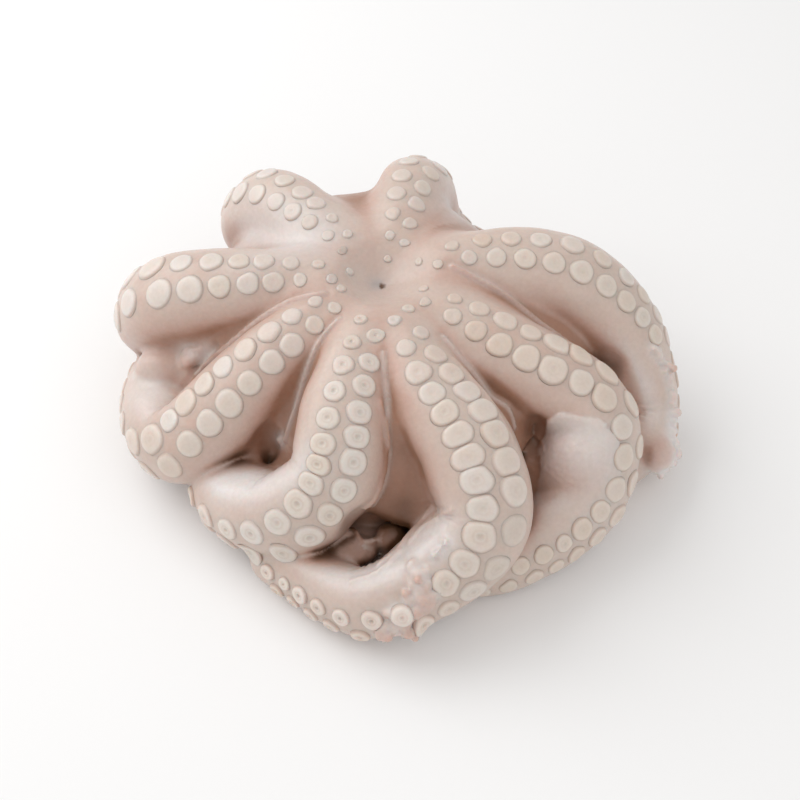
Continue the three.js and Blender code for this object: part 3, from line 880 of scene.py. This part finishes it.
def wet_shader(tree, colour, grain, wetness, subsurface, bump_height, bump_distance):
    """A moist, slightly see-through surface. grain: noise and its two tints; wetness: noise and its roughnesses."""
    specks, *tints = grain
    tints = add_ramp(tree, specks, list(zip(NOISE_SPAN, tints)))
    patches, *span = wetness
    rough = add_node(tree, "ShaderNodeMapRange", {"Value": patches, "From Min": NOISE_SPAN[0],
                                                  "From Max": NOISE_SPAN[1], "To Min": span[0], "To Max": span[1]})
    bump = add_node(tree, "ShaderNodeBump", {"Height": bump_height, "Strength": BUMP_STRENGTH,
                                             "Distance": bump_distance})
    shader = tree.nodes["Principled BSDF"]
    for name, value in {"Subsurface Weight": subsurface, **WET}.items():
        shader.inputs[name].default_value = value
    for name, (node, output) in {"Base Color": mix_colours(tree, 1.0, colour, tints, "MULTIPLY"),
                                 "Roughness": (rough, 0), "Normal": (bump, 0), "Coat Normal": (bump, 0)}.items():
        tree.links.new(node.outputs[output], shader.inputs[name])


NOISE_SPAN, NOISE_ROUGHNESS = (0.3, 0.7), 0.55  # the noise between these is spread over the whole range
WET = {"Subsurface Radius": (1.0, 0.45, 0.3), "Subsurface Scale": 0.006, "IOR": 1.4, "Coat Weight": 0.4,
       "Coat Roughness": 0.22}
BUMP_STRENGTH, PATCH_SHARE, PORE_SHARE = 0.5, 0.5, 0.12
# Skin tones: pale, pink, and deep brown that is partly the skin's own and partly painted shade.
PALE_SKIN = (0.62, 0.495, 0.43)
PINK_SKIN = (0.56, 0.38, 0.315)
DEEP_SKIN_AND_SHADE = (0.37, 0.20, 0.135)
# Dark painted shade for crevices.
CREVICE_SHADE_TONE = (0.12, 0.055, 0.025)
# A whitish painted highlight, also the tone of film and slime.
HIGHLIGHT_AND_SLIME_WHITE = (0.72, 0.675, 0.655)
# Greyish painted shade by the mouth.
MOUTH_SHADE_TONE = (0.36, 0.35, 0.35)
YOUNG_SUCKER = (0.635, 0.52, 0.455)
# Colours from the middle of a sucker, 0, to its foot, 1. The ringed ones are those of open suckers.
# The darkest tint, at the foot, is painted shade in the crease where a sucker meets the skin.
RIM_AND_FOOT_SHADE_TINTS = [(0.95, (0.67, 0.555, 0.49)), (1.0, (0.58, 0.45, 0.385))]
SHUT_TINTS = [(0.0, (0.70, 0.60, 0.53)), (0.5, (0.71, 0.615, 0.545)), (0.84, (0.74, 0.645, 0.58)), *RIM_AND_FOOT_SHADE_TINTS]
RINGED_TINTS = [(0.0, (0.63, 0.515, 0.44)), (0.15, (0.68, 0.57, 0.495)), (0.28, (0.74, 0.645, 0.575)),
                (0.42, (0.69, 0.58, 0.505)), (0.56, (0.75, 0.66, 0.59)), (0.84, (0.75, 0.66, 0.595)), *RIM_AND_FOOT_SHADE_TINTS]
WARM, COOL = (0.97, 0.915, 0.88), (1.03, 1.04, 1.085)


def make_skin_material():
    material, tree, place = start_material("wet_skin")
    patches, specks = texture_noise(tree, place, 22), texture_noise(tree, place, 2.2, 4.0)
    shift = math_node(tree, "MULTIPLY", math_node(tree, "SUBTRACT", patches, 0.5), PATCH_SHARE)
    tone = math_node(tree, "ADD", attribute(tree, "pink_and_shade"), shift, True)
    colour = add_ramp(tree, tone, [(0.0, PALE_SKIN), (0.5, PINK_SKIN), (1.0, DEEP_SKIN_AND_SHADE)])
    # Whitish painted highlight and slime, greyish painted shade by the mouth, dark painted shade in crevices.
    for layer, tint in (("highlight_and_slime", HIGHLIGHT_AND_SLIME_WHITE), ("mouth_shade", MOUTH_SHADE_TONE), ("crevice_shade", CREVICE_SHADE_TONE)):
        colour = mix_colours(tree, attribute(tree, layer), colour, tint)
    lumps, pores = texture_noise(tree, place, 5.0, 2.0), texture_noise(tree, place, 1.2)
    height = math_node(tree, "ADD", lumps, math_node(tree, "MULTIPLY", pores, PORE_SHARE))
    grain = (specks, (0.95, 0.94, 0.935), (1.02, 1.02, 1.02))
    wet_shader(tree, colour, grain, wetness=(patches, 0.36, 0.52), subsurface=0.45, bump_height=height,
               bump_distance=0.0005)
    return material


def make_sucker_material():
    material, tree, place = start_material("sucker_skin")
    ring = attribute(tree, "ring")
    cream = mix_colours(tree, attribute(tree, "open"), add_ramp(tree, ring, SHUT_TINTS),
                        add_ramp(tree, ring, RINGED_TINTS))
    cream = mix_colours(tree, attribute(tree, "young"), cream, YOUNG_SUCKER)
    warm = mix_colours(tree, attribute(tree, "shade"), WARM, COOL)
    colour = mix_colours(tree, 1.0, cream, warm, "MULTIPLY")
    # Dark painted shade on suckers deep in crevices.
    colour = mix_colours(tree, attribute(tree, "crevice_shade"), colour, CREVICE_SHADE_TONE)
    specks = texture_noise(tree, place, 1.6, 4.0)
    grain = (specks, (0.96, 0.955, 0.95), (1.02, 1.02, 1.02))
    wet_shader(tree, colour, grain, wetness=(specks, 0.4, 0.55), subsurface=0.35, bump_height=specks,
               bump_distance=0.0001)
    return material


skin_material = make_skin_material()
sucker_material = make_sucker_material()

# ---- the skin as a piece ----
# Layers of colour: pink and deep brown, partly the skin's own tone and partly painted shade, deepest on the undersides
# of the arms and in the web; dark painted shade in crevices; a whitish painted highlight on the wet outer side, also
# the tone of film and slime; greyish painted shade by the mouth.
WEB_OFF = (0.5, 4)  # skin this far off every arm begins to be web, and over how many mm
OUTER_FROM = (95, 150)  # distance from the mouth over which the skin turns to that of the outer side
UNDERSIDE, FLANK_SHARE, WEB_SHARE, OUTER_LOSS = (-0.75, 0.35), 0.65, 0.45, 0.75
CROWN_FLANK, CROWN_REACH = 0.35, (12, 50)  # share of the pink that is left at the mouth
# Painted shade where little space is free: its share in the pink, and free space over which it and the dark shade fade.
SHADE_SHARE, SHADE_FREE, HOLLOW_FREE = 0.6, (0.3, 0.75), (0.62, 0.98)
SLIT_STRETCH, SLIT_EDGE = np.array([1.5, 2.0, 12.0]), (0.75, 1.05)
# The whitish painted highlight of the wet outer side: the free space and side where it shows, its strength and noise.
WHITE_FREE, WHITE_SIDE, WHITE_SHARE, WHITE_NOISE = (0.45, 0.95), (0.2, 0.9), 0.85, (0.5, 25, 8)
WHITE_UP_TO = 0.9  # the ridge of the sucker side, at 1, isn't white
FILM_PALE, FILM_WHITE = 0.8, 0.5
CRUMB_WIDTH, CRUMB_PALE, CRUMB_WHITE = 4.5, 0.85, 0.8
# Beside each fold of the web, pink and painted shade; on its crest, a painted highlight: strengths and widths.
FOLD_PINK_AND_SHADE, FOLD_PINK_AND_SHADE_WIDTH, FOLD_HIGHLIGHT, FOLD_HIGHLIGHT_WIDTH = 0.3, 5.0, 0.55, 1.4

along, oral, _ = arm_coordinates(skin)
free = openness(skin, skin_normals, flesh)
web_share = np.clip((np.min(np.stack([sample(f, skin) for f in arm_fields]), 0) - WEB_OFF[0]) / WEB_OFF[1], 0, 1)
outer = smoothstep(along, *OUTER_FROM) * (1 - web_share)
# Pink and deep brown under the arms and in the web, partly skin tone, partly painted shade; painted shade in crevices.
pink_and_shade = np.clip(FLANK_SHARE * smoothstep(-oral, *UNDERSIDE) + WEB_SHARE * web_share, 0, 1) * (1 - OUTER_LOSS * outer)
pink_and_shade *= CROWN_FLANK + (1 - CROWN_FLANK) * smoothstep(
    np.hypot(skin[:, 0] - MOUTH[0], skin[:, 1] - MOUTH[1]), *CROWN_REACH)
pink_and_shade = np.clip(pink_and_shade + SHADE_SHARE * smoothstep(1 - free, *SHADE_FREE), 0, 1)
slit_place = np.linalg.norm((skin - SLIT["at"]) / SLIT_STRETCH, axis=1)
# Dark painted shade in crevices and in the mouth slit.
crevice_shade = np.maximum(smoothstep(1 - free, *HOLLOW_FREE), 1 - smoothstep(slit_place, *SLIT_EDGE))
# Whitish painted highlight on the wet, open outer stretches of the arms, away from the sucker ridge.
highlight_and_slime = outer * smoothstep(free, *WHITE_FREE) * smoothstep(WHITE_UP_TO - oral, *WHITE_SIDE)
highlight_and_slime = WHITE_SHARE * np.clip(highlight_and_slime * (1 + noises(skin, [WHITE_NOISE])), 0, 1)
film = film_height(skin) / FILM_THICKNESS
crumbly = closeness(skin, crumb_places, CRUMB_WIDTH)
# Film and crumbs of slime: less pink and painted shade, no dark painted shade, and whitish.
layers = {"pink_and_shade": pink_and_shade * (1 - FILM_PALE * film) * (1 - CRUMB_PALE * crumbly),
          "crevice_shade": crevice_shade * ((1 - film) * (1 - crumbly)),
          "highlight_and_slime": np.maximum(highlight_and_slime, np.maximum(FILM_WHITE * film, CRUMB_WHITE * crumbly))}
# The paint: dark painted shade, pink and painted shade, or whitish painted highlight along lines.
for layer, places, strength, width in PAINT:
    layers[layer] = np.clip(layers[layer] + strength * closeness(skin, line_through(places), width), 0, 1)
# Along each fold: pink and painted shade beside it, a painted highlight on its crest.
for curve in folds:
    layers["pink_and_shade"] = np.clip(layers["pink_and_shade"] + FOLD_PINK_AND_SHADE * closeness(skin, curve, FOLD_PINK_AND_SHADE_WIDTH), 0, 1)
    layers["highlight_and_slime"] = np.maximum(layers["highlight_and_slime"], FOLD_HIGHLIGHT * closeness(skin, curve, FOLD_HIGHLIGHT_WIDTH))
# Greyish painted shade by the mouth, in two rings.
away = np.linalg.norm(skin - MOUTH - MOUTH_SHADE_RINGS["from"], axis=1)
layers["mouth_shade"] = sum(share * np.exp(-((away / width) ** 2)) for share, width in MOUTH_SHADE_RINGS["rings"])
skin_object = add_object("skin", skin, skin_faces, skin_material, layers)

# ---- suckers as a piece ----
SUCKER_SIDES = 28
# From the middle of a sucker to its foot: share of the radius, and height of a shut and of an open one, in shares of
# the height of its rim.
SUCKER_PROFILE = np.array([
    (0.11, 1.00, 0.30), (0.20, 1.02, 0.60), (0.30, 1.05, 0.86), (0.42, 1.07, 0.80), (0.58, 1.07, 0.94),
    (0.72, 1.02, 1.00), (0.83, 0.91, 0.95), (0.92, 0.71, 0.76), (0.98, 0.44, 0.47), (1.04, 0.10, 0.10),
    (1.10, -0.50, -0.50),
])
TALL_TAIL = 1.6  # open cups near the tip of an arm stand higher by this share
SUCKER_GAP = -0.3  # between two that crowd each other: they overlap
FOOT_CLEAR, LOOSE_SHARE = 2.4, 0.1  # how far the edge of a foot may stand off the flesh, but for this share of it
LEAST_FREE, FREE_FROM = 0.2, 1.5  # free space that a sucker needs, and how far over it that is looked for
YOUNG_TO = (15.0, 85.0)  # distance from the mouth over which suckers grow out of the skin's colour
# Suckers under slime, which look like the skin: a line through them and its width.
VEIL = [(52.6, -114.8, 56.4), (48.7, -121.2, 45.3), (41.2, -125.5, 32.5), (29, -131.8, 28.6)]
VEIL_WIDTH = 9.0
# Places where no sucker stands: under the crumbs, in a crease, and in the fringe at the edge of the east arm.
BARE = [(11.5, -136.3, 39.1), (-107, -62, 20), (134, -5, 54), (137, -10, 46), (140, -15, 38), (141, -22, 33),
        (141, -28, 28), (139, -34, 25), (138, -40, 22), (134, -44, 20), (127, -47, 22), (122, -46, 18),
        (125, -50, 10), (130, -45, 9), (-2, -144, 23)]
BARE_REACH = 7.0
NEIGHBOUR_REACH = 1.3  # suckers nearer than this share of the width shape each other
LEAST_FACING, RIM_BLEND = 0.02, 2.2
MIDDLE_DIP = 0.04  # of an open sucker, in shares of its height
# The bed of a sucker: rays are sent down from RAY_START in rings, each with its share of the reach and its count.
BED_RINGS = ((0, 1), (0.4, 6), (0.75, 10), (1.0, 12))
RAY_START, RAY_LENGTH, LEAST_HITS, BED_ROUNDNESS = 9, 18, 8, 0.85
LEAST_HEIGHT, HEIGHT_SHARE, YOUNG_HEIGHT, VEILED_LOSS = 0.2, 0.06, 0.4, 0.5
TAIL_CUPS, TAIL_FREE = (140, 185), (0.45, 0.7)  # distance from the mouth and free space from which cups stand tall
YOUNG_TINT, VEILED_TINT = 0.8, 0.6  # how far they take the skin's colour
# Painted shade on suckers with little free space over them: where it fades in, and its strength.
SHADED_FREE, SHADED_SHARE = (0.55, 1.0), 0.8


def rim_of(sucker, others, angles):
    """The radius of a sucker in each direction: an oval, flattened where it meets its neighbours."""
    def oval(item, x, y):
        return 1 / np.sqrt((x / (item["width"] / 2)) ** 2 + (y / (item["length"] / 2)) ** 2)

    radius = oval(sucker, np.cos(angles), np.sin(angles))
    for other in others:
        apart = other["foot"] - sucker["foot"]
        x, y = apart @ sucker["across"], apart @ sucker["forward"]
        gap = math.hypot(x, y)
        if gap < 1e-3 or abs(apart @ sucker["out"]) > gap:
            continue
        own, theirs = oval(sucker, x / gap, y / gap), oval(other, x / gap, y / gap)
        limit = gap * own / (own + theirs) - SUCKER_GAP / 2
        facing = np.maximum(np.cos(angles) * x / gap + np.sin(angles) * y / gap, LEAST_FACING)
        radius = smooth_min(radius, limit / facing, RIM_BLEND)
    return radius


def place_on(sucker, x, y, up):
    return sucker["foot"] + sucker["across"] * x + sucker["forward"] * y + sucker["out"] * up


def bed_of(sucker, reach):
    """A smooth surface fitted to the skin under a sucker, as a function of the place across and along it."""
    found = []
    for share, count in BED_RINGS:
        for k in range(count):
            angle = 2 * math.pi * k / count
            x, y = share * reach * math.cos(angle), share * reach * math.sin(angle)
            start = place_on(sucker, x, y, RAY_START)
            hit = tree.ray_cast(Vector(start), Vector(-sucker["out"]), RAY_LENGTH)
            if hit[0] is not None:
                found.append((x, y, RAY_START - hit[3]))
    if len(found) < LEAST_HITS:
        return None
    x, y, height = np.array(found).T
    terms = np.stack([np.ones(len(x)), x, y, x * x, x * y, y * y], 1)
    fit = np.linalg.lstsq(terms, height, rcond=None)[0]
    fit[3:] *= BED_ROUNDNESS
    return lambda x, y: fit[0] + fit[1] * x + fit[2] * y + fit[3] * x * x + fit[4] * x * y + fit[5] * y * y


def build_suckers(placed, draw):
    points, faces = [], []
    layers = {name: [] for name in ("ring", "shade", "crevice_shade", "open", "young")}
    ring = layers["ring"]
    angles = 2 * math.pi * np.arange(SUCKER_SIDES) / SUCKER_SIDES
    veil = line_through(VEIL)
    shares, shut, wide_open = SUCKER_PROFILE.T
    for sucker in placed:
        sucker["forward"] = np.cross(sucker["out"], sucker["across"])
    feet = np.array([sucker["foot"] for sucker in placed])
    for number, sucker in enumerate(placed):
        bed = bed_of(sucker, sucker["width"] / 2)
        free = openness((sucker["foot"] + sucker["out"] * FREE_FROM)[None], sucker["out"][None], bare_flesh)[0]
        spare = np.linalg.norm(np.array(BARE) - sucker["foot"], axis=1).min() < BARE_REACH
        if bed is None or free < LEAST_FREE or spare:
            continue
        gaps = np.linalg.norm(feet - sucker["foot"], axis=1)
        others = [placed[k] for k in np.flatnonzero((gaps < NEIGHBOUR_REACH * sucker["width"]) & (gaps > 0))]
        rim = rim_of(sucker, others, angles)
        small = float(1 - smoothstep(sucker["along"], *YOUNG_TO))
        veiled = float(closeness(sucker["foot"][None], veil, VEIL_WIDTH)[0])
        uneven, turn = draw.normal(0, UNEVEN["round"] + UNEVEN["young"] * small, 2), draw.uniform(0, 2 * math.pi, 2)
        rim *= 1 + uneven[0] * np.cos(2 * angles + turn[0]) + uneven[1] * np.cos(3 * angles + turn[1])
        tail = smoothstep(sucker["along"], *TAIL_CUPS) * smoothstep(free, *TAIL_FREE)
        high = LEAST_HEIGHT + HEIGHT_SHARE * sucker["width"] * (1 + TALL_TAIL * sucker["open"] * tail)
        high += YOUNG_HEIGHT * small - VEILED_LOSS * veiled * high
        first, first_face = len(points), len(faces)
        heights = (shut + (wide_open - shut) * sucker["open"]) * high
        middle = heights[0] - MIDDLE_DIP * high * sucker["open"]
        lean = draw.normal(0, UNEVEN["lean"], 2)

        def put(x, y, height):
            points.append(place_on(sucker, x, y, bed(x, y) + height + lean[0] * x + lean[1] * y))

        put(0, 0, middle)
        ring.append(0)
        for share, height in zip(shares, heights):
            for angle, radius in zip(angles, rim):
                put(share * radius * math.cos(angle), share * radius * math.sin(angle), height)
                ring.append(min(share, 1.0))
        for k in range(SUCKER_SIDES):
            ahead = (k + 1) % SUCKER_SIDES
            faces.append((first, first + 1 + k, first + 1 + ahead))
            for j in range(len(heights) - 1):
                a = first + 1 + j * SUCKER_SIDES
                faces.append((a + k, a + SUCKER_SIDES + k, a + SUCKER_SIDES + ahead, a + ahead))
        foot, under = np.array(points[-SUCKER_SIDES:]), len(points)
        put(0, 0, heights[-1])
        ring.append(1.0)
        faces += [(under, under - SUCKER_SIDES + (k + 1) % SUCKER_SIDES, under - SUCKER_SIDES + k)
                  for k in range(SUCKER_SIDES)]
        if (sample(flesh, foot) > FOOT_CLEAR).mean() > LOOSE_SHARE:
            del points[first:], ring[first:], faces[first_face:]
            continue
        count = len(points) - first
        cool = draw.normal(ARMS[sucker["arm"]]["cool"], UNEVEN["shade"])
        for name, value in {"shade": np.clip(cool, 0, 1), "open": sucker["open"],
                            "young": max(YOUNG_TINT * small, VEILED_TINT * veiled),
                            "crevice_shade": smoothstep(1 - free, *SHADED_FREE) * SHADED_SHARE}.items():
            layers[name] += [float(value)] * count
    return points, faces, layers


points, faces, layers = build_suckers(suckers, np.random.default_rng(5))
sucker_object = add_object("suckers", points, faces, sucker_material, layers)


# ---- stage ----
FLOOR_REACH, FLOOR_TONE = 4.0, (0.9, 0.9, 0.9, 1)
WORLD_TONE, WORLD_STRENGTH = (1.0, 0.99, 0.98, 1), 0.68
LIGHT_AIM = (0, 0, 0.04)
LIGHTS = {"key": {"place": (-0.85, 0.4, 0.95), "size": 1.3, "power": 10.6},
          "fill": {"place": (0.6, -0.7, 0.9), "size": 1.2, "power": 2.3}}


def make_floor():
    mesh = bpy.data.meshes.new("floor")
    corners = [(x * FLOOR_REACH, y * FLOOR_REACH, 0) for x, y in ((-1, -1), (1, -1), (1, 1), (-1, 1))]
    mesh.from_pydata(corners, [], [(0, 1, 2, 3)])
    material = bpy.data.materials.new("pale_floor")
    material.use_nodes = True
    shader = material.node_tree.nodes["Principled BSDF"]
    shader.inputs["Base Color"].default_value = FLOOR_TONE
    shader.inputs["Roughness"].default_value = 0.9
    mesh.materials.append(material)
    add_to_scene("floor", mesh)


def make_studio():
    world = bpy.data.worlds.new("studio")
    bpy.context.scene.world = world
    world.use_nodes = True
    world.node_tree.nodes["Background"].inputs["Color"].default_value = WORLD_TONE
    world.node_tree.nodes["Background"].inputs["Strength"].default_value = WORLD_STRENGTH
    for name, facts in LIGHTS.items():
        data = bpy.data.lights.new(name, "AREA")
        data.size, data.energy = facts["size"], facts["power"]
        light = add_to_scene(name, data)
        light.location = facts["place"]
        light.rotation_euler = (Vector(facts["place"]) - Vector(LIGHT_AIM)).to_track_quat("Z", "Y").to_euler()


make_camera()
make_floor()
make_studio()
bpy.context.scene.view_settings.view_transform = "Standard"

for piece in (skin_object, sucker_object):
    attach(piece, "root")
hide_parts("octopus")
